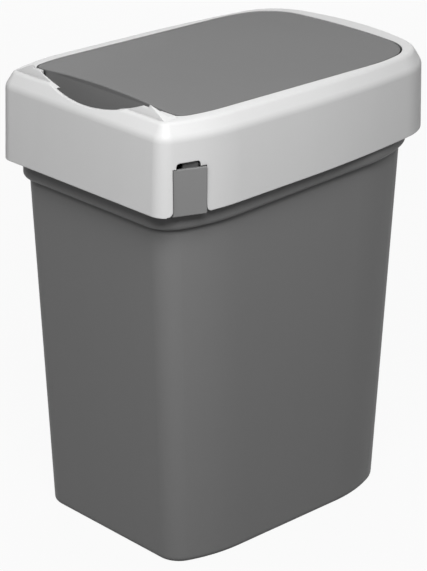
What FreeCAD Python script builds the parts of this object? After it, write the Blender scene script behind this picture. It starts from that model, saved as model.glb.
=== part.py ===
import FreeCAD, Part
import math
import os
from enum import IntEnum, auto
from types import SimpleNamespace

import Sketcher
from FreeCAD import Placement, Rotation, Vector

doc = FreeCAD.newDocument("waste_bin")
sheet = doc.addObject("Spreadsheet::Sheet", "sizes")


# The sketcher's own counts for places on an edge
class Spot(IntEnum):
    start = auto()
    end = auto()
    centre = auto()


start, end, centre = Spot
origin, upright = -start, -end
firstCount = start

# Outlines: half width, reach to the front and rear, then radii and turns of the front and rear corners
outlines = {
    "base": dict(half=80, front=116, rear=106, side_front=113, corner_front=18, turn_front=22,
                 side_rear=113, corner_rear=40, turn_rear=22, back=500),
    "rim": dict(half=86.1, front=129.8, rear=119.9, side_front=113, corner_front=19, turn_front=22,
                side_rear=113, corner_rear=42, turn_rear=22, back=500),
    "band": dict(half=89.9, front=133, rear=123.6, side_front=117, corner_front=23, turn_front=22,
                 side_rear=117, corner_rear=46, turn_rear=22, back=504),
    "collar": dict(half=95.35, front=140.1, rear=140.1, side_front=150, corner_front=13, turn_front=20.1,
                   side_rear=900, corner_rear=47.5, turn_rear=7.1, back=202),
    "lid": dict(half=78.2, front=117.4, rear=117.4, side_front=126, corner_front=12, turn_front=12,
                side_rear=126, corner_rear=32, turn_rear=14, back=380),
}

# Lengths in millimetres, turns in degrees
plain = dict(
    # bucket; drops are measured down from the rim
    body_wall=2.2, floor_thick=3, rim_height=286, band_tall=46, crease_front_drop=29.4,
    crease_rear_drop=18.8, band_round=3.6, base_round=3, foot_width=9, foot_depth=1.2,
    # collar skirt, shoulder and rim
    skirt_drop=24, skirt_thick=2, skirt_draft=1.6, shoulder_radius=9, shoulder_turn=30, rim_radius=4,
    rim_run=10, top_rise=47.9, rim_thick=2.2, rim_in=11, rim_lap=1, hem_front_drop=15.4, hem_rear_drop=8.7,
    seat_thick=2.2, seat_in=1.6, plug_depth=11, plug_wall=1.8, plug_gap=0.5,
    # opening for the lid
    lid_gap=1.3, rebate_wall=2, rebate_depth=6.2, ledge_width=3, ledge_end=50, ledge_cut_half=82,
    ledge_cut_side=95, ledge_cut_back=66, ledge_cut_reach=121.5,
    # raised brow at the front, finger slot behind the front wall and the dip in that wall
    brow_half=76, brow_rise=7.5, brow_crest=128, brow_foot=124, brow_back=1.2, brow_sink=1,
    brow_radius=165, slot_half=60.5, slot_round=2, slot_reach=128.5, slot_back=100, slot_depth=22, dip_half=58, dip_radius=132, dip_rise=7.5,
    dip_middle=130, dip_length=26,
    # lid flap, crowned at the front and flat at the rear
    lid_drop=0.4, lid_thick=3.6, lid_edge=0.5, crown_radius=640, crown_half=80, apron_half=59,
    apron_rise=1.5, apron_run=2.5, apron_depth=14, apron_thick=2.6,
    # lid hinge
    hinge_reach=62, hinge_drop=5, knuckle_radius=4, knuckle_start=62, knuckle_length=15, knuckle_sink=1.2,
    pin_radius=2.5, pin_play=0.06, pin_start=63, pin_length=20.5, pin_chamfer=0.5, ear_start=80,
    ear_length=4, ear_half=6, ear_low=5.5, ear_sink=2,
    # clip, its hinge lugs on the bucket and its notch and window in the collar
    clip_in=6.55, clip_back=20.7, clip_turn=21, clip_half=12.1, clip_drop=15.5, clip_tall=32.6,
    clip_thick=2.4, clip_proud=0.6, clip_gap=0.4, clip_edge=0.6, clip_axis_in=4.5, clip_axis_up=2.2,
    foot_half=8, foot_radius=2.2, stub_radius=1.3, stub_play=0.07, stub_length=3.2, lug_radius=2.4,
    lug_gap=0.4, lug_thick=3.6, lug_root=17, window_front=9.9, window_rear=7.8, window_tall=4.4,
    window_round=2.5, notch_round=4, notch_drop=14.8, notch_depth=9, tongue_half=5.5, tongue_shift=1.6,
    tongue_in=2.8, tongue_thick=1.8, tongue_up=3.4, tongue_down=2.4, tongue_step=0.6, tongue_sink=1,
    # tools that cut past an edge, and the turn of an upright
    cut_margin=12, cut_width=220, quarter_turn=90,
)


class Size:
    def __init__(self, value, text):
        self.value = value
        self.text = text

    def __add__(self, other):
        return Size(self.value + other.value, f"({self.text} + {other.text})")

    def __sub__(self, other):
        return Size(self.value - other.value, f"({self.text} - {other.text})")

    def __mul__(self, other):
        return Size(self.value * other.value, f"({self.text} * {other.text})")

    def __truediv__(self, other):
        return Size(self.value / other.value, f"({self.text} / {other.text})")

    def __neg__(self):
        return Size(-self.value, f"(-{self.text})")

    def slopeTurn(self):
        return Size(math.degrees(math.atan(self.value)), f"atan({self.text})")


def enterSizes():
    named = {f"{name}_{key}": value for name, shape in outlines.items() for key, value in shape.items()}
    named.update(plain)
    sizes = {}
    for row, (alias, value) in enumerate(named.items(), firstCount):
        sheet.set(f"A{row}", alias)
        sheet.set(f"B{row}", str(value))
        sheet.setAlias(f"B{row}", alias)
        sizes[alias] = Size(float(value), f"sizes.{alias}")
    doc.recompute()
    return SimpleNamespace(**sizes)


s = enterSizes()
none = s.body_wall - s.body_wall
quarter = math.radians(s.quarter_turn.value)
halfShare = 0.5
matchGap = 1e-3


def makeBody(label):
    body = doc.addObject("PartDesign::Body", label)
    body.Label = label
    return body


def plane(body, role):
    return next(feature for feature in body.Origin.OriginFeatures if feature.Role == role)


up = Vector(0, 0, 1)
turnAxes = {"upright": Vector(0, -1, 0), "x": Vector(1, 0, 0)}


def makeSketch(body, role, name, lift=none, turn=None, across=none, about="upright"):
    sketch = body.newObject("Sketcher::SketchObject", name)
    sketch.AttachmentSupport = [(plane(body, role), "")]
    sketch.MapMode = "FlatFace"
    spin = Rotation(turnAxes[about], turn.value) if turn else Rotation()
    sketch.AttachmentOffset = Placement(Vector(across.value, 0, lift.value), spin)
    sketch.setExpression("AttachmentOffset.Base.x", across.text)
    sketch.setExpression("AttachmentOffset.Base.z", lift.text)
    if turn:
        sketch.setExpression("AttachmentOffset.Rotation.Angle", turn.text)
    return sketch


def constrain(sketch, kind, *places, size=None):
    if size is None:
        return sketch.addConstraint(Sketcher.Constraint(kind, *places))
    value = math.radians(size.value) if kind == "Angle" else size.value
    index = sketch.addConstraint(Sketcher.Constraint(kind, *places, value))
    sketch.setExpression(f"Constraints[{index}]", size.text)
    return index


def placePoint(sketch, piece, spot, x, y):
    for kind, size in (("DistanceX", x), ("DistanceY", y)):
        if size.value < 0:
            constrain(sketch, kind, piece, spot, origin, start, size=-size)
        else:
            constrain(sketch, kind, origin, start, piece, spot, size=size)


def lineFrom(x0, y0, x1, y1):
    return Part.LineSegment(Vector(x0, y0, 0), Vector(x1, y1, 0))


def arcAbout(middle, radius, first, last):
    return Part.ArcOfCircle(Part.Circle(middle, up, radius), first, last)


def addOutline(sketch, name, grow=none):
    shape = SimpleNamespace(**{key: getattr(s, f"{name}_{key}") for key in outlines[name]})
    half, front, rear = shape.half + grow, shape.front + grow, shape.rear + grow
    sideFront, cornerFront = shape.side_front + grow, shape.corner_front + grow
    sideRear, cornerRear, back = shape.side_rear + grow, shape.corner_rear + grow, shape.back + grow
    turnFront, turnRear = math.radians(shape.turn_front.value), math.radians(shape.turn_rear.value)
    # circle centres of the right half, front to rear
    reach = sideFront.value - cornerFront.value
    flank = half.value - sideFront.value
    c2 = Vector(flank + reach * math.cos(turnFront), cornerFront.value - front.value, 0)
    c1 = Vector(flank, c2.y + reach * math.sin(turnFront), 0)
    reach = sideRear.value - cornerRear.value
    flank = half.value - sideRear.value
    swing = back.value - cornerRear.value
    lean = math.asin((flank + reach * math.cos(turnRear)) / swing)
    c6 = Vector(0, rear.value - back.value, 0)
    c5 = c6 + Vector(math.sin(lean), math.cos(lean), 0) * swing
    c4 = Vector(flank, c5.y - reach * math.sin(turnRear), 0)

    def mirror(point):
        return Vector(-point.x, point.y, 0)

    halfTurn = quarter + quarter
    edges = [
        lineFrom(-c2.x, -front.value, c2.x, -front.value),
        arcAbout(c2, cornerFront.value, -quarter, -turnFront),
        arcAbout(c1, sideFront.value, -turnFront, 0),
        lineFrom(half.value, c1.y, half.value, c4.y),
        arcAbout(c4, sideRear.value, 0, turnRear),
        arcAbout(c5, cornerRear.value, turnRear, quarter - lean),
        arcAbout(c6, back.value, quarter - lean, quarter + lean),
        arcAbout(mirror(c5), cornerRear.value, quarter + lean, halfTurn - turnRear),
        arcAbout(mirror(c4), sideRear.value, halfTurn - turnRear, halfTurn),
        lineFrom(-half.value, c4.y, -half.value, c1.y),
        arcAbout(mirror(c1), sideFront.value, halfTurn, halfTurn + turnFront),
        arcAbout(mirror(c2), cornerFront.value, halfTurn + turnFront, halfTurn + quarter),
    ]
    base = sketch.GeometryCount
    sketch.addGeometry(edges, False)
    ids = [base + i for i in range(len(edges))]
    for one, other in zip(ids, ids[1:] + ids[:1]):
        constrain(sketch, "Tangent", one, end, other, start)
    (frontLine, cornerA, sideA, rightLine, sideB, cornerB,
     rearArc, cornerC, sideC, leftLine, sideD, cornerD) = ids
    constrain(sketch, "Horizontal", frontLine)
    constrain(sketch, "Vertical", rightLine)
    constrain(sketch, "Vertical", leftLine)
    constrain(sketch, "PointOnObject", rearArc, centre, upright)
    for edge, size in ((cornerA, cornerFront), (sideA, sideFront), (sideB, sideRear),
                       (cornerB, cornerRear), (rearArc, back)):
        constrain(sketch, "Radius", edge, size=size)
    for one, other in ((cornerA, cornerD), (sideA, sideD), (sideB, sideC), (cornerB, cornerC)):
        constrain(sketch, "Equal", one, other)
    constrain(sketch, "DistanceX", origin, start, rightLine, start, size=half)
    constrain(sketch, "DistanceX", leftLine, start, origin, start, size=half)
    constrain(sketch, "DistanceY", frontLine, start, origin, start, size=front)
    constrain(sketch, "DistanceY", rearArc, centre, origin, start, size=back - rear)
    for edge in (sideA, sideD):
        constrain(sketch, "Angle", edge, size=shape.turn_front)
    for edge in (sideB, sideC):
        constrain(sketch, "Angle", edge, size=shape.turn_rear)


# A closed chain of points; a point may carry the radius of an arc to the next one, turning left or right
def addChain(sketch, points):
    base = sketch.GeometryCount
    ends = []
    for i, (x, y, *bend) in enumerate(points):
        x1, y1 = points[(i + 1) % len(points)][:2]
        here, there = Vector(x.value, y.value, 0), Vector(x1.value, y1.value, 0)
        if not bend:
            sketch.addGeometry(Part.LineSegment(here, there), False)
            ends.append((start, end))
            continue
        radius, left = bend
        chord = there - here
        side = (Vector(-chord.y, chord.x, 0) if left else Vector(chord.y, -chord.x, 0)).normalize()
        reach = chord.Length * halfShare
        rise = math.sqrt((radius.value - reach) * (radius.value + reach))
        middle = (here + there) * halfShare + side * rise
        first, last = (here, there) if left else (there, here)
        begin, stop = (math.atan2(point.y - middle.y, point.x - middle.x) for point in (first, last))
        stop = stop + math.tau if stop < begin else stop
        sketch.addGeometry(arcAbout(middle, radius.value, begin, stop), False)
        ends.append((start, end) if left else (end, start))
    for i, (x, y, *bend) in enumerate(points):
        after = (i + 1) % len(points)
        constrain(sketch, "Coincident", base + i, ends[i][1], base + after, ends[after][0])
        placePoint(sketch, base + i, ends[i][0], x, y)
        if bend:
            constrain(sketch, "Radius", base + i, size=bend[0])


def addBox(sketch, left, right, low, high):
    addChain(sketch, [(left, low), (right, low), (right, high), (left, high)])


def addCircle(sketch, x, y, radius):
    index = sketch.GeometryCount
    sketch.addGeometry(Part.Circle(Vector(x.value, y.value, 0), up, radius.value), False)
    constrain(sketch, "Radius", index, size=radius)
    placePoint(sketch, index, centre, x, y)


def extrude(body, kind, sketch, length, reverse=False, both=False):
    feature = body.newObject(f"PartDesign::{kind}", f"{sketch.Name}_{kind.lower()}")
    feature.Profile = sketch
    feature.Length = length.value
    feature.setExpression("Length", length.text)
    feature.Reversed = reverse
    if both:
        feature.SideType = "Symmetric"
    settle(body, feature)
    return feature


def settle(body, feature):
    body.Tip = feature
    doc.recompute()
    if not feature.isValid() or feature.Shape.isNull() or not feature.Shape.isValid():
        raise RuntimeError(f"{feature.Name} failed: {feature.State}")
    print(body.Label, feature.Name, round(feature.Shape.Volume), len(feature.Shape.Solids))


def mirrorFeatures(body, features, name):
    mirrored = body.newObject("PartDesign::Mirrored", name)
    mirrored.Originals = features
    mirrored.MirrorPlane = (plane(body, "YZ_Plane"), [""])
    settle(body, mirrored)


def edgeNames(shape, wanted):
    return [f"Edge{i}" for i, edge in enumerate(shape.Edges, firstCount) if wanted(edge)]


def roundEdges(body, name, radius, wanted, kind="Fillet"):
    previous = body.Tip
    feature = body.newObject(f"PartDesign::{kind}", name)
    feature.Base = (previous, edgeNames(previous.Shape, wanted))
    key = "Radius" if kind == "Fillet" else "Size"
    setattr(feature, key, radius.value)
    feature.setExpression(key, radius.text)
    settle(body, feature)


def near(one, other):
    return abs(one - other) < matchGap


# Levels and places used by more than one feature
bandLow = s.rim_height - s.band_tall
creaseFront, creaseRear = s.rim_height - s.crease_front_drop, s.rim_height - s.crease_rear_drop
collarTop = s.rim_height + s.top_rise
skirtLow = s.rim_height - s.skirt_drop
hemFront, hemRear = s.rim_height - s.hem_front_drop, s.rim_height - s.hem_rear_drop
lidTop = collarTop - s.lid_drop
lidUnder = lidTop - s.lid_thick
hingeLevel = collarTop - s.hinge_drop
clipOut, clipReach = s.collar_half - s.clip_in, s.collar_front - s.clip_back
clipLow = s.rim_height - s.clip_drop
clipTop = clipLow + s.clip_tall
clipAxisLevel = clipLow + s.clip_axis_up
notchHem = s.rim_height - s.notch_drop
plugOut = -s.body_wall - s.plug_gap
plugIn = plugOut - s.plug_wall


def makeBucket():
    body = makeBody("bin_body")
    band = makeSketch(body, "XY_Plane", "band_plan", bandLow)
    addOutline(band, "band")
    extrude(body, "Pad", band, s.rim_height - bandLow)
    crease = makeSketch(body, "YZ_Plane", "crease_side")
    front, rear, low = -s.band_front, s.band_rear, bandLow - s.cut_margin
    addChain(crease, [(front - s.cut_margin, low), (rear + s.cut_margin, low),
                      (rear + s.cut_margin, creaseRear), (rear, creaseRear),
                      (front, creaseFront), (front - s.cut_margin, creaseFront)])
    extrude(body, "Pocket", crease, s.cut_width, both=True)
    slope = (creaseRear - creaseFront) / (s.band_rear + s.band_front)
    creaseMiddle = creaseFront + slope * s.band_front

    def onCrease(edge):
        return all(near(v.Z, creaseMiddle.value + slope.value * v.Y) for v in edge.Vertexes)

    roundEdges(body, "band_rounding", s.band_round, onCrease)
    addLugs(body)
    low = makeSketch(body, "XY_Plane", "base_plan")
    high = makeSketch(body, "XY_Plane", "rim_plan", s.rim_height)
    addOutline(low, "base")
    addOutline(high, "rim")
    addLoft(body, "AdditiveLoft", "wall", low, high)
    roundEdges(body, "base_rounding", s.base_round, lambda edge: all(near(v.Z, 0) for v in edge.Vertexes))
    low = makeSketch(body, "XY_Plane", "base_inside", s.floor_thick)
    high = makeSketch(body, "XY_Plane", "rim_inside", s.rim_height)
    addOutline(low, "base", -s.body_wall)
    addOutline(high, "rim", -s.body_wall)
    addLoft(body, "SubtractiveLoft", "hollow", low, high)
    level = creaseMiddle + s.body_wall
    low = makeSketch(body, "XY_Plane", "band_floor", level, slope.slopeTurn(), about="x")
    high = makeSketch(body, "XY_Plane", "band_inside", s.rim_height)
    addOutline(low, "band", -s.body_wall)
    addOutline(high, "band", -s.body_wall)
    addLoft(body, "SubtractiveLoft", "band_hollow", low, high)
    foot = makeSketch(body, "XY_Plane", "foot_plan")
    addOutline(foot, "base", -s.foot_width)
    extrude(body, "Pocket", foot, s.foot_depth, reverse=True)
    return body


def addLoft(body, kind, name, low, high):
    loft = body.newObject(f"PartDesign::{kind}", name)
    loft.Profile = low
    loft.Sections = [high]
    loft.Ruled = True
    settle(body, loft)


# Upright planes at the right clip: "across" looks along the collar's wall, "face" looks at it
def clipSketch(body, name, view):
    if view == "across":
        return makeSketch(body, "XZ_Plane", name, clipReach, s.clip_turn, clipOut)
    return makeSketch(body, "YZ_Plane", name, clipOut, s.clip_turn, -clipReach)


def addLugs(body):
    width = s.foot_half + s.lug_gap + s.lug_thick
    root = clipSketch(body, "lug_root", "across")
    low, high = clipAxisLevel - s.lug_radius, clipAxisLevel + s.lug_radius
    addBox(root, -s.lug_root, -s.clip_axis_in, low, high)
    nose = clipSketch(body, "lug_nose", "across")
    addCircle(nose, -s.clip_axis_in, clipAxisLevel, s.lug_radius)
    slot = clipSketch(body, "lug_slot", "across")
    addBox(slot, -s.clip_axis_in - s.foot_radius - s.lug_gap, none, low - s.lug_gap, high + s.lug_gap)
    bore = clipSketch(body, "lug_bore", "across")
    addCircle(bore, -s.clip_axis_in, clipAxisLevel, s.stub_radius + s.stub_play)
    gap = s.foot_half + s.lug_gap
    features = [
        extrude(body, "Pad", root, width + width, both=True),
        extrude(body, "Pad", nose, width + width, both=True),
        extrude(body, "Pocket", slot, gap + gap, both=True),
        extrude(body, "Pocket", bore, width + width + s.lug_gap, both=True),
    ]
    mirrorFeatures(body, features, "lugs_left")


def addSkirt(body):
    path = makeSketch(body, "XY_Plane", "skirt_path", skirtLow)
    addOutline(path, "collar")
    profile = makeSketch(body, "XZ_Plane", "skirt_profile")
    half, top, draft = s.collar_half.value, collarTop.value, s.skirt_draft.value
    low, thick, bend = skirtLow.value, s.skirt_thick.value, s.shoulder_radius.value
    lean = math.atan(draft / (top - low - bend))
    turn = lean + math.radians(s.shoulder_turn.value)
    rim = Vector(half - s.rim_run.value, top - s.rim_radius.value, 0)
    wallSide, slopeSide = (Vector(math.cos(angle), math.sin(angle), 0) for angle in (lean, turn))
    wallReach = wallSide.dot(Vector(half, low, 0))
    slopeReach = slopeSide.dot(rim) + s.rim_radius.value

    # where a line this deep inside the wall meets one this deep inside the slope
    def meet(wallDepth, slopeDepth):
        across, down = wallReach - wallDepth, slopeReach - slopeDepth
        cross = math.sin(turn - lean)
        return Vector((across * slopeSide.y - down * wallSide.y) / cross,
                      (down * wallSide.x - across * slopeSide.x) / cross, 0)

    shoulder, crook = meet(bend, bend), meet(thick, thick)
    wallTop, slopeLow = shoulder + wallSide * bend, shoulder + slopeSide * bend
    slopeTop = rim + slopeSide * s.rim_radius.value
    inner, under = half - s.rim_in.value, top - s.rim_thick.value
    fold = (slopeReach - thick - slopeSide.y * under) / slopeSide.x
    profile.addGeometry([
        lineFrom(half, low, wallTop.x, wallTop.y),
        arcAbout(shoulder, bend, lean, turn),
        lineFrom(slopeLow.x, slopeLow.y, slopeTop.x, slopeTop.y),
        arcAbout(rim, s.rim_radius.value, turn, quarter),
        lineFrom(rim.x, top, inner, top),
        lineFrom(inner, top, inner, under),
        lineFrom(inner, under, fold, under),
        lineFrom(fold, under, crook.x, crook.y),
        lineFrom(crook.x, crook.y, half - thick, low),
        lineFrom(half - thick, low, half, low),
    ], False)
    wall, shoulderArc, slope, rimArc, flat, drop, underside, hip, inside, hem = range(profile.GeometryCount)
    for one, other in ((wall, shoulderArc), (shoulderArc, slope), (slope, rimArc), (rimArc, flat)):
        constrain(profile, "Tangent", one, end, other, start)
    corners = (flat, drop, underside, hip, inside, hem, wall)
    for one, other in zip(corners, corners[firstCount:]):
        constrain(profile, "Coincident", one, end, other, start)
    for edge in (flat, underside, hem):
        constrain(profile, "Horizontal", edge)
    constrain(profile, "Vertical", drop)
    constrain(profile, "Parallel", wall, inside)
    constrain(profile, "Parallel", slope, hip)
    constrain(profile, "Radius", shoulderArc, size=s.shoulder_radius)
    constrain(profile, "Radius", rimArc, size=s.rim_radius)
    constrain(profile, "Angle", shoulderArc, size=s.shoulder_turn)
    placePoint(profile, wall, start, s.collar_half, skirtLow)
    placePoint(profile, drop, start, s.collar_half - s.rim_in, collarTop)
    constrain(profile, "DistanceX", flat, start, wall, start, size=s.rim_run)
    constrain(profile, "DistanceY", drop, end, drop, start, size=s.rim_thick)
    constrain(profile, "DistanceX", hem, start, hem, end, size=s.skirt_thick)
    constrain(profile, "DistanceX", wall, end, wall, start, size=s.skirt_draft)
    constrain(profile, "Distance", hip, start, slope, size=s.skirt_thick)
    skirt = body.newObject("PartDesign::AdditivePipe", "skirt")
    skirt.Profile = profile
    skirt.Spine = path
    settle(body, skirt)


def addRing(body, name, level, height, outer, inner, reverse=False):
    ring = makeSketch(body, "XY_Plane", name, level)
    addOutline(ring, *outer)
    addOutline(ring, *inner)
    return extrude(body, "Pad", ring, height, reverse)


def makeCollar():
    body = makeBody("collar")
    addSkirt(body)
    opening = ("lid", s.lid_gap)
    rebateOut = ("lid", s.lid_gap + s.rebate_wall)
    addRing(body, "rim_plate", collarTop, s.rim_thick, ("collar", s.rim_lap - s.rim_in), opening, True)
    addRing(body, "rebate", collarTop, s.rebate_depth, rebateOut, opening, True)
    ledgeLow = collarTop - s.rebate_depth
    addRing(body, "ledge", ledgeLow, lidUnder - ledgeLow, rebateOut, ("lid", -s.ledge_width))
    behind = makeSketch(body, "XY_Plane", "ledge_cut", lidUnder)
    half, back, side = s.ledge_cut_half, s.ledge_cut_back, s.ledge_cut_side
    addChain(behind, [(-half, s.ledge_end), (half, s.ledge_end), (half, side), (back, s.ledge_cut_reach),
                      (-back, s.ledge_cut_reach), (-half, side)])
    extrude(body, "Pocket", behind, s.rebate_depth)
    cutHem(body)
    seatIn = ("band", plugIn)
    addRing(body, "seat", s.rim_height, s.seat_thick, ("collar", -s.seat_in), seatIn)
    addRing(body, "plug", s.rim_height, s.plug_depth, ("band", plugOut), seatIn, True)
    addBrow(body)
    cutScoop(body)
    cutNotches(body)
    addEars(body)
    return body


def cutHem(body):
    hem = makeSketch(body, "YZ_Plane", "hem_side")
    front, rear, low = -s.collar_front, s.collar_rear, skirtLow - s.cut_margin
    outFront, outRear = front - s.cut_margin, rear + s.cut_margin
    addChain(hem, [(outFront, low), (outRear, low), (outRear, hemRear), (rear, hemRear),
                   (front, hemFront), (outFront, hemFront)])
    extrude(body, "Pocket", hem, s.cut_width, both=True)


def addBrow(body):
    side = makeSketch(body, "YZ_Plane", "brow_side")
    front, back = s.rim_run - s.collar_front, -s.lid_front - s.lid_gap
    low, high, ledge = collarTop - s.brow_sink, collarTop + s.brow_rise, collarTop + s.brow_back
    addChain(side, [(front, low), (back, low), (back, ledge), (-s.brow_foot, ledge), (-s.brow_crest, high),
                    (front, collarTop)])
    extrude(body, "Pad", side, s.brow_half + s.brow_half, both=True)
    crown = makeSketch(body, "XZ_Plane", "brow_crown", s.dip_middle)
    over = high + s.cut_margin
    addChain(crown, [(-s.brow_half, collarTop, s.brow_radius, False), (s.brow_half, collarTop),
                     (s.brow_half, over), (-s.brow_half, over)])
    extrude(body, "Pocket", crown, s.dip_length, both=True)


def cutScoop(body):
    plan = makeSketch(body, "XY_Plane", "slot_plan", collarTop + s.cut_margin)
    half, bend, back, reach = s.slot_half, s.slot_round, -s.slot_back, -s.slot_reach
    front = reach + bend
    addChain(plan, [(-half, front, bend, True), (bend - half, reach), (half - bend, reach, bend, True),
                    (half, front), (half, back), (-half, back)])
    extrude(body, "Pocket", plan, s.cut_margin + s.slot_depth)
    dip = makeSketch(body, "XZ_Plane", "dip_front", s.dip_middle)
    level, top = collarTop + s.dip_rise, collarTop + s.dip_rise + s.cut_margin
    addChain(dip, [(-s.dip_half, level, s.dip_radius, True), (s.dip_half, level),
                   (s.dip_half, top), (-s.dip_half, top)])
    extrude(body, "Pocket", dip, s.dip_length, both=True)


def cutNotches(body):
    notch = clipSketch(body, "notch_face", "face")
    side, front, rear, bend = s.clip_half + s.clip_gap, -s.window_front, s.window_rear, s.window_round
    flare, low = side + s.notch_round, skirtLow - s.cut_margin
    turnLow, turnHigh = notchHem, notchHem + s.notch_round
    sill, head = clipTop + s.clip_gap, clipTop + s.window_tall
    addChain(notch, [
        (-flare, low), (flare, low), (flare, turnLow, s.notch_round, False), (side, turnHigh), (side, sill),
        (rear, sill), (rear, head - bend, bend, True), (rear - bend, head), (front + bend, head, bend, True),
        (front, head - bend), (front, sill), (-side, sill), (-side, turnHigh, s.notch_round, False),
        (-flare, turnLow),
    ])
    cut = extrude(body, "Pocket", notch, s.notch_depth + s.notch_depth, both=True)
    mirrorFeatures(body, [cut], "notch_left")


def addEars(body):
    ear = makeSketch(body, "YZ_Plane", "ear_side", s.ear_start)
    front, rear = s.hinge_reach - s.ear_half, s.hinge_reach + s.ear_half
    addBox(ear, front, rear, hingeLevel - s.ear_low, collarTop - s.ear_sink)
    bore = makeSketch(body, "YZ_Plane", "ear_bore", s.ear_start + s.ear_length)
    addCircle(bore, s.hinge_reach, hingeLevel, s.pin_radius)
    features = [
        extrude(body, "Pad", ear, s.ear_length),
        extrude(body, "Pocket", bore, s.ear_length + s.ear_length),
    ]
    mirrorFeatures(body, features, "ears_left")


# A cross-section of the lid; the crowned one is bounded by two arcs
def lidSection(body, name, reach, crowned):
    section = makeSketch(body, "XZ_Plane", name, reach)
    left, right = -s.crown_half, s.crown_half
    under = (left, lidUnder, s.crown_radius - s.lid_thick, False) if crowned else (left, lidUnder)
    over = (right, lidTop, s.crown_radius, True) if crowned else (right, lidTop)
    addChain(section, [under, (right, lidUnder), over, (left, lidTop)])
    return section


def makeLid():
    body = makeBody("lid_flap")
    front = lidSection(body, "lid_front_section", s.lid_front + s.cut_margin, True)
    rear = lidSection(body, "lid_rear_section", -s.lid_rear - s.cut_margin, False)
    addLoft(body, "AdditiveLoft", "lid_sheet", front, rear)
    trim = makeSketch(body, "XY_Plane", "lid_trim", lidTop + s.cut_margin)
    side, tail = s.crown_half + s.cut_margin, s.lid_front + s.cut_margin + s.cut_margin
    addBox(trim, -side, side, -tail, tail)
    addOutline(trim, "lid")
    extrude(body, "Pocket", trim, s.lid_thick + s.cut_margin + s.cut_margin)
    tops = [face for face in body.Tip.Shape.Faces if facesUp(face)]
    roundEdges(body, "lid_chamfer", s.lid_edge,
               lambda edge: any(edge.isSame(other) for face in tops for other in face.Edges), "Chamfer")
    apron = makeSketch(body, "YZ_Plane", "apron")
    lip, high = -s.lid_front, lidTop + s.apron_rise
    low = high - s.apron_depth
    addChain(apron, [(lip - s.apron_run, low), (lip - s.apron_run + s.apron_thick, low),
                     (lip + s.apron_thick, high), (lip, high)])
    extrude(body, "Pad", apron, s.apron_half + s.apron_half, both=True)
    addKnuckles(body)
    return body


def facesUp(face):
    return face.normalAt(*face.Surface.parameter(face.CenterOfMass)).z > halfShare


def addKnuckles(body):
    neck = makeSketch(body, "YZ_Plane", "knuckle_neck", s.knuckle_start)
    front, rear = s.hinge_reach - s.knuckle_radius, s.hinge_reach + s.knuckle_radius
    addBox(neck, front, rear, hingeLevel, lidUnder + s.knuckle_sink)
    barrel = makeSketch(body, "YZ_Plane", "knuckle_barrel", s.knuckle_start)
    addCircle(barrel, s.hinge_reach, hingeLevel, s.knuckle_radius)
    bore = makeSketch(body, "YZ_Plane", "knuckle_bore", s.ear_start)
    addCircle(bore, s.hinge_reach, hingeLevel, s.pin_radius + s.pin_play)
    features = [
        extrude(body, "Pad", neck, s.knuckle_length),
        extrude(body, "Pad", barrel, s.knuckle_length),
        extrude(body, "Pocket", bore, s.ear_start - s.knuckle_start),
    ]
    mirrorFeatures(body, features, "knuckles_left")


def makePin(label, left):
    body = makeBody(label)
    ring = makeSketch(body, "YZ_Plane", f"{label}_ring", -s.pin_start if left else s.pin_start)
    addCircle(ring, s.hinge_reach, hingeLevel, s.pin_radius)
    extrude(body, "Pad", ring, s.pin_length, reverse=left)
    roundEdges(body, f"{label}_ends", s.pin_chamfer,
               lambda edge: edge.Curve.TypeId == "Part::GeomCircle", "Chamfer")
    return body


def makeClip(label, left):
    body = makeBody(label)
    out, inside = s.clip_proud, s.clip_proud - s.clip_thick
    plate = makeSketch(body, "XZ_Plane", f"{label}_plate")
    addBox(plate, inside, out, clipLow, clipTop)
    extrude(body, "Pad", plate, s.clip_half + s.clip_half, both=True)
    roundEdges(body, f"{label}_edges", s.clip_edge, lambda edge: near(edge.CenterOfMass.x, out.value)
               or near(edge.CenterOfMass.z, clipTop.value))
    foot = makeSketch(body, "XZ_Plane", f"{label}_foot")
    low = clipAxisLevel - s.foot_radius
    addBox(foot, -s.clip_axis_in, inside + s.tongue_sink, low, clipAxisLevel + s.foot_radius)
    extrude(body, "Pad", foot, s.foot_half + s.foot_half, both=True)
    barrel = makeSketch(body, "XZ_Plane", f"{label}_barrel")
    addCircle(barrel, -s.clip_axis_in, clipAxisLevel, s.foot_radius)
    extrude(body, "Pad", barrel, s.foot_half + s.foot_half, both=True)
    stub = makeSketch(body, "XZ_Plane", f"{label}_stub")
    addCircle(stub, -s.clip_axis_in, clipAxisLevel, s.stub_radius)
    reach = s.foot_half + s.stub_length
    extrude(body, "Pad", stub, reach + reach, both=True)
    tongue = makeSketch(body, "XZ_Plane", f"{label}_tongue", s.tongue_shift if left else -s.tongue_shift)
    root, face, back = inside + s.tongue_sink, -s.tongue_in, -s.tongue_in - s.tongue_thick
    low, step, high = clipTop - s.tongue_down, clipTop - s.tongue_step, clipTop + s.tongue_up
    addChain(tongue, [(root, low), (root, step), (face, step), (face, high), (back, high), (back, low)])
    extrude(body, "Pad", tongue, s.tongue_half + s.tongue_half, both=True)
    place(body, left)
    return body


def place(body, left):
    out = -clipOut if left else clipOut
    turn = s.quarter_turn + s.quarter_turn - s.clip_turn if left else s.clip_turn
    body.Placement = Placement(Vector(out.value, -clipReach.value, 0), Rotation(-up, turn.value))
    body.setExpression("Placement.Base.x", out.text)
    body.setExpression("Placement.Base.y", (-clipReach).text)
    body.setExpression("Placement.Rotation.Angle", turn.text)


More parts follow.
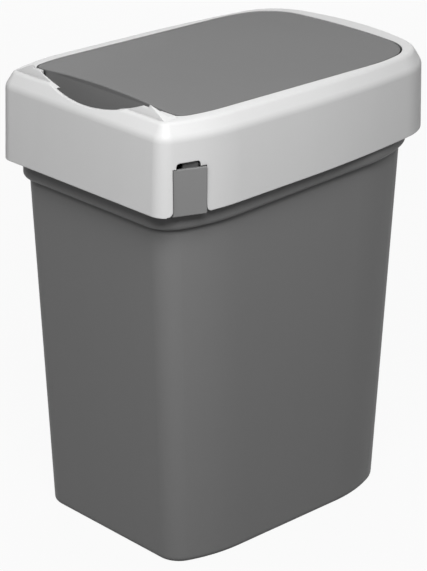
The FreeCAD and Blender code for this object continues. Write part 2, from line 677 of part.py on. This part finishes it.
pieces = [
    makeBucket(), makeCollar(), makeLid(),
    makePin("lid_pin_right", False), makePin("lid_pin_left", True),
    makeClip("clip_right", False), makeClip("clip_left", True),
]
doc.recompute()
os.makedirs("parts", exist_ok=True)
for piece in pieces:
    bad = [item.Name for item in piece.Group if not item.isValid()]
    if bad or piece.Shape.isNull() or not piece.Shape.isValid():
        raise RuntimeError(f"{piece.Label} is not sound: {bad}")
    piece.Shape.exportStep(f"parts/{piece.Label}.step")
    box = piece.Shape.BoundBox
    print(piece.Label, [round(v, 1) for v in (box.XMin, box.YMin, box.ZMin, box.XMax, box.YMax, box.ZMax)])
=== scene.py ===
import math

import bpy
from mathutils import Matrix, Vector

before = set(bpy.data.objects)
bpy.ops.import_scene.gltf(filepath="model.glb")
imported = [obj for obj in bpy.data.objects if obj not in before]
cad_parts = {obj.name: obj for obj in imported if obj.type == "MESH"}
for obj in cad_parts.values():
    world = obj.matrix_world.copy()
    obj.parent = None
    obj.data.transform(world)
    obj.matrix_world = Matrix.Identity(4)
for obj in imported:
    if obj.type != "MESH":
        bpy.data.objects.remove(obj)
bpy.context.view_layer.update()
scene = bpy.context.scene
scene.view_settings.view_transform = "Standard"
print("frame loaded with nodes", sorted(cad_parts))


# a socket that can stand in a sum
class Val:
    def __init__(self, finish, socket):
        self.finish = finish
        self.socket = socket

    def maths(self, operation, first, second):
        return self.finish.node("ShaderNodeMath", {"operation": operation}, {0: first, 1: second})

    def __add__(self, other):
        return self.maths("ADD", self, other)

    def __radd__(self, other):
        return self.maths("ADD", other, self)

    def __sub__(self, other):
        return self.maths("SUBTRACT", self, other)

    def __rsub__(self, other):
        return self.maths("SUBTRACT", other, self)

    def __mul__(self, other):
        return self.maths("MULTIPLY", self, other)

    def __rmul__(self, other):
        return self.maths("MULTIPLY", other, self)


# one material and the nodes in it
class Finish:
    def __init__(self, name, tree=None):
        if tree is None:
            self.material = bpy.data.materials.new(name)
            self.material.use_nodes = True
            tree = self.material.node_tree
        self.tree = tree
        tree.nodes.clear()

    def node(self, kind, settings=None, sockets=None, out=0):
        made = self.tree.nodes.new(kind)
        for key, value in (settings or {}).items():
            setattr(made, key, value)
        for key, value in (sockets or {}).items():
            if isinstance(value, Val):
                self.tree.links.new(value.socket, made.inputs[key])
            else:
                made.inputs[key].default_value = value
        return Val(self, made.outputs[out]) if made.outputs else made

    def place(self):
        return self.node("ShaderNodeTexCoord", out="Object")

    def noise(self, where, scale, detail, rough):
        sockets = {"Vector": where, "Scale": scale, "Detail": detail, "Roughness": rough}
        return self.node("ShaderNodeTexNoise", {}, sockets, out="Fac")

    def stretched(self, where, scale):
        return self.node("ShaderNodeMapping", {}, {"Vector": where, "Scale": scale})

    def clamp(self, value):
        return self.node("ShaderNodeClamp", {}, {"Value": value})

    def step(self, value, low, high):
        sockets = {"Value": value, "From Min": low, "From Max": high}
        return self.node("ShaderNodeMapRange", {"interpolation_type": "SMOOTHSTEP"}, sockets)

    # rays that show the white studio: straight, mirrored or seen through
    def seenRays(self):
        camera, glossy, through = (self.node("ShaderNodeLightPath", out=f"Is {kind} Ray")
                                   for kind in ("Camera", "Glossy", "Transmission"))
        return self.clamp(camera + glossy + through)

    def grey(self, level):
        return self.node("ShaderNodeCombineColor", {}, {"Red": level, "Green": level, "Blue": level})

    def surface(self, sockets):
        shader = self.node("ShaderNodeBsdfPrincipled", {}, sockets)
        self.node("ShaderNodeOutputMaterial", {}, {"Surface": shader})


# moulded plastic: fine grain, slow clouding, faint flow lines, scuffs low down, painted highlights on edges
# and painted shade in gaps
def mouldedPlastic(name, look):
    finish = Finish(name)
    where = finish.place()
    cloud = finish.noise(where, look["cloudScale"], look["cloudDetail"], look["cloudBreak"])
    flow = finish.noise(finish.stretched(where, look["flowStretch"]), look["flowScale"],
                        look["flowDetail"], look["flowBreak"])
    speck = finish.noise(where, look["speckScale"], look["speckDetail"], look["speckBreak"])
    grain = finish.noise(where, look["grainScale"], look["grainDetail"], look["grainBreak"])
    height = finish.node("ShaderNodeSeparateXYZ", {}, {"Vector": where}, out="Z")
    rub = finish.noise(finish.stretched(where, look["rubStretch"]), look["rubScale"],
                       look["rubDetail"], look["rubBreak"])
    low = 1.0 - finish.step(height, look["rubLow"], look["rubHigh"])
    worn = finish.step(rub, look["rubStart"], look["rubFull"]) * low
    # painted highlight: the base colour is lightened along edges, where the bevel normal turns away from the
    # face normal
    edge = finish.node("ShaderNodeBevel", {}, {"Radius": look["edgeRadius"]})
    flat = finish.node("ShaderNodeNewGeometry", out="Normal")
    along = finish.node("ShaderNodeVectorMath", {"operation": "DOT_PRODUCT"}, {0: edge, 1: flat},
                        out="Value")
    paintedEdgeHighlight = finish.step(along, look["edgeStart"], look["edgeFull"])
    # painted shade: the base colour is darkened by ambient occlusion in gaps, creases and under overhangs
    clear = finish.node("ShaderNodeAmbientOcclusion", {}, {"Distance": look["gapReach"]}, out="AO")
    paintedGapShade = clear * look["gapShade"] + (1.0 - look["gapShade"])
    change = ((cloud - midNoise) * look["cloudShade"] + (flow - midNoise) * look["flowShade"]
              + (speck - midNoise) * look["speckShade"] + worn * look["rubShade"]
              + paintedEdgeHighlight * look["edgeHighlightPaint"])
    level = (change + 1.0) * paintedGapShade * look["grey"]
    rough = ((cloud - midNoise) * look["cloudRough"] + (speck - midNoise) * look["speckRough"]
             + worn * look["rubRough"] + look["rough"])
    bump = finish.node("ShaderNodeBump", {}, {"Height": grain, "Strength": look["grainStrength"],
                                              "Distance": look["grainDepth"], "Normal": edge}, out="Normal")
    finish.surface({"Base Color": finish.grey(level), "Roughness": finish.clamp(rough), "Normal": bump,
                    "Specular IOR Level": look["specular"], "IOR": look["ior"]})
    return finish.material


midNoise = 0.5
plasticBase = {
    "ior": 1.49,
    "cloudScale": 16.0, "cloudDetail": 3.0, "cloudBreak": 0.5, "cloudShade": 0.05, "cloudRough": 0.08,
    "flowScale": 9.0, "flowDetail": 3.0, "flowBreak": 0.5, "flowStretch": (6.0, 6.0, 0.7), "flowShade": 0.03,
    "speckScale": 900.0, "speckDetail": 2.0, "speckBreak": 0.6, "speckShade": 0.06, "speckRough": 0.06,
    "grainScale": 1500.0, "grainDetail": 3.0, "grainBreak": 0.65, "grainStrength": 0.25, "grainDepth": 0.0002,
    "rubScale": 60.0, "rubDetail": 4.0, "rubBreak": 0.6, "rubStretch": (1.0, 1.0, 5.0), "rubStart": 0.55,
    "rubFull": 0.75, "rubLow": 0.0, "rubHigh": 0.03, "rubShade": 0.08, "rubRough": 0.1,
    # the edge settings paint a highlight into the base colour along edges
    "edgeRadius": 0.0008, "edgeStart": 0.99, "edgeFull": 0.8, "edgeHighlightPaint": 0.3,
    # gapReach and gapShade set how far and how strongly shade is painted into gaps
    "gapReach": 0.005, "gapShade": 0.92,
}
bucketLook = {**plasticBase, "grey": 0.17, "rough": 0.5, "specular": 0.2}
collarLook = {**plasticBase, "grey": 0.6, "rough": 0.45, "specular": 0.3, "speckShade": 0.03,
              "grainStrength": 0.15, "edgeHighlightPaint": 0.12}
lidLook = {**plasticBase, "grey": 0.135, "rough": 0.55, "specular": 0.2, "edgeHighlightPaint": 1.4}
clipLook = {**plasticBase, "grey": 0.2, "rough": 0.45, "specular": 0.2, "speckShade": 0.03, "edgeHighlightPaint": 0.5}
pinLook = {**plasticBase, "grey": 0.1, "rough": 0.4, "specular": 0.2}

finishes = {
    "bin_body": mouldedPlastic("bucketPlastic", bucketLook),
    "collar": mouldedPlastic("collarPlastic", collarLook),
    "lid_flap": mouldedPlastic("lidPlastic", lidLook),
    "clip_right": mouldedPlastic("clipPlastic", clipLook),
    "lid_pin_right": mouldedPlastic("pinPlastic", pinLook),
}
finishes["clip_left"] = finishes["clip_right"]
finishes["lid_pin_left"] = finishes["lid_pin_right"]
for node, material in finishes.items():
    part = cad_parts[node]
    part.data.materials.clear()
    part.data.materials.append(material)
print("finishes set on", len(finishes), "nodes")

# floor and light
white = (1.0, 1.0, 1.0, 1.0)
studio = {
    "floorGrey": 0.3, "floorShare": 0.94, "floorSize": 6.0, "worldLight": 0.05,
    "keyPower": 19.5, "keySize": 0.6, "keyTurn": 45.5, "keyRise": 48.0, "keyAway": 1.3,
    "topPower": 2.5, "topSize": 1.4, "topHeight": 2.2,
    "fillPower": 30.0, "fillSize": 1.2, "fillTurn": 226.0, "fillRise": 16.0, "fillAway": 2.2,
}


def makeFloor():
    size = studio["floorSize"]
    mesh = bpy.data.meshes.new("floor")
    corners = [(-size, -size, 0), (size, -size, 0), (size, size, 0), (-size, size, 0)]
    mesh.from_pydata(corners, [], [range(len(corners))])
    floor = bpy.data.objects.new("floor", mesh)
    scene.collection.objects.link(floor)
    finish = Finish("floorWhite")
    lit = finish.node("ShaderNodeBsdfDiffuse", {}, {"Color": (studio["floorGrey"],) * 3 + (1.0,)})
    plain = finish.node("ShaderNodeEmission", {}, {"Color": white})
    share = finish.seenRays() * studio["floorShare"]
    mixed = finish.node("ShaderNodeMixShader", {}, {0: share, 1: lit, 2: plain})
    finish.node("ShaderNodeOutputMaterial", {}, {"Surface": mixed})
    mesh.materials.append(finish.material)


def makeWorld():
    world = bpy.data.worlds.new("studioWorld")
    world.use_nodes = True
    scene.world = world
    finish = Finish("studioWorld", world.node_tree)
    strength = finish.seenRays() * (1.0 - studio["worldLight"]) + studio["worldLight"]
    sky = finish.node("ShaderNodeBackground", {}, {"Color": white, "Strength": strength})
    finish.node("ShaderNodeOutputWorld", {}, {"Surface": sky})


def addSoftbox(name, power, size, eye, target):
    light = bpy.data.lights.new(name, "AREA")
    light.energy = power
    light.size = size
    lamp = bpy.data.objects.new(name, light)
    lamp.location = eye
    lamp.rotation_euler = (Vector(target) - Vector(eye)).to_track_quat("-Z", "Y").to_euler()
    scene.collection.objects.link(lamp)
    return lamp


def aimFrom(turn, rise, away, target):
    turn, rise = math.radians(turn), math.radians(rise)
    back = Vector((math.sin(turn) * math.cos(rise), -math.cos(turn) * math.cos(rise), math.sin(rise)))
    return Vector(target) + back * away, back


middle = (0.0, 0.0, 0.17)
makeFloor()
makeWorld()
addSoftbox("keyBox", studio["keyPower"], studio["keySize"],
           aimFrom(studio["keyTurn"], studio["keyRise"], studio["keyAway"], middle)[0], middle)
fillBox = addSoftbox("fillBox", studio["fillPower"], studio["fillSize"],
                     aimFrom(studio["fillTurn"], studio["fillRise"], studio["fillAway"], middle)[0], middle)
fillBox.visible_glossy = False
addSoftbox("topBox", studio["topPower"], studio["topSize"], (0.0, 0.0, studio["topHeight"]), middle)
print("studio ready")

# camera, from a fit to the photograph's edges
view = {
    "turn": 46.499, "rise": 22.229, "away": 1.6763, "target": (0.0, -0.008, 0.17), "roll": 0.443,
    "focal": 2305.03, "centre": (219.52, 276.18), "frame": (427.0, 571.0), "sensor": 36.0,
}


def makeCamera():
    eye, back = aimFrom(view["turn"], view["rise"], view["away"], view["target"])
    turn = math.radians(view["turn"])
    right = Vector((math.cos(turn), math.sin(turn), 0.0))
    upward = back.cross(right)
    axes = Matrix((right, upward, back)).transposed().to_4x4()
    camera = bpy.data.cameras.new("photoView")
    wide, tall = view["frame"]
    camera.sensor_width = view["sensor"]
    camera.lens = view["focal"] * view["sensor"] / tall
    camera.shift_x = (wide / 2 - view["centre"][0]) / tall
    camera.shift_y = (view["centre"][1] - tall / 2) / tall
    holder = bpy.data.objects.new("photoView", camera)
    holder.matrix_world = Matrix.Translation(eye) @ axes @ Matrix.Rotation(math.radians(view["roll"]), 4, "Z")
    scene.collection.objects.link(holder)
    scene.camera = holder


makeCamera()
print("camera set")
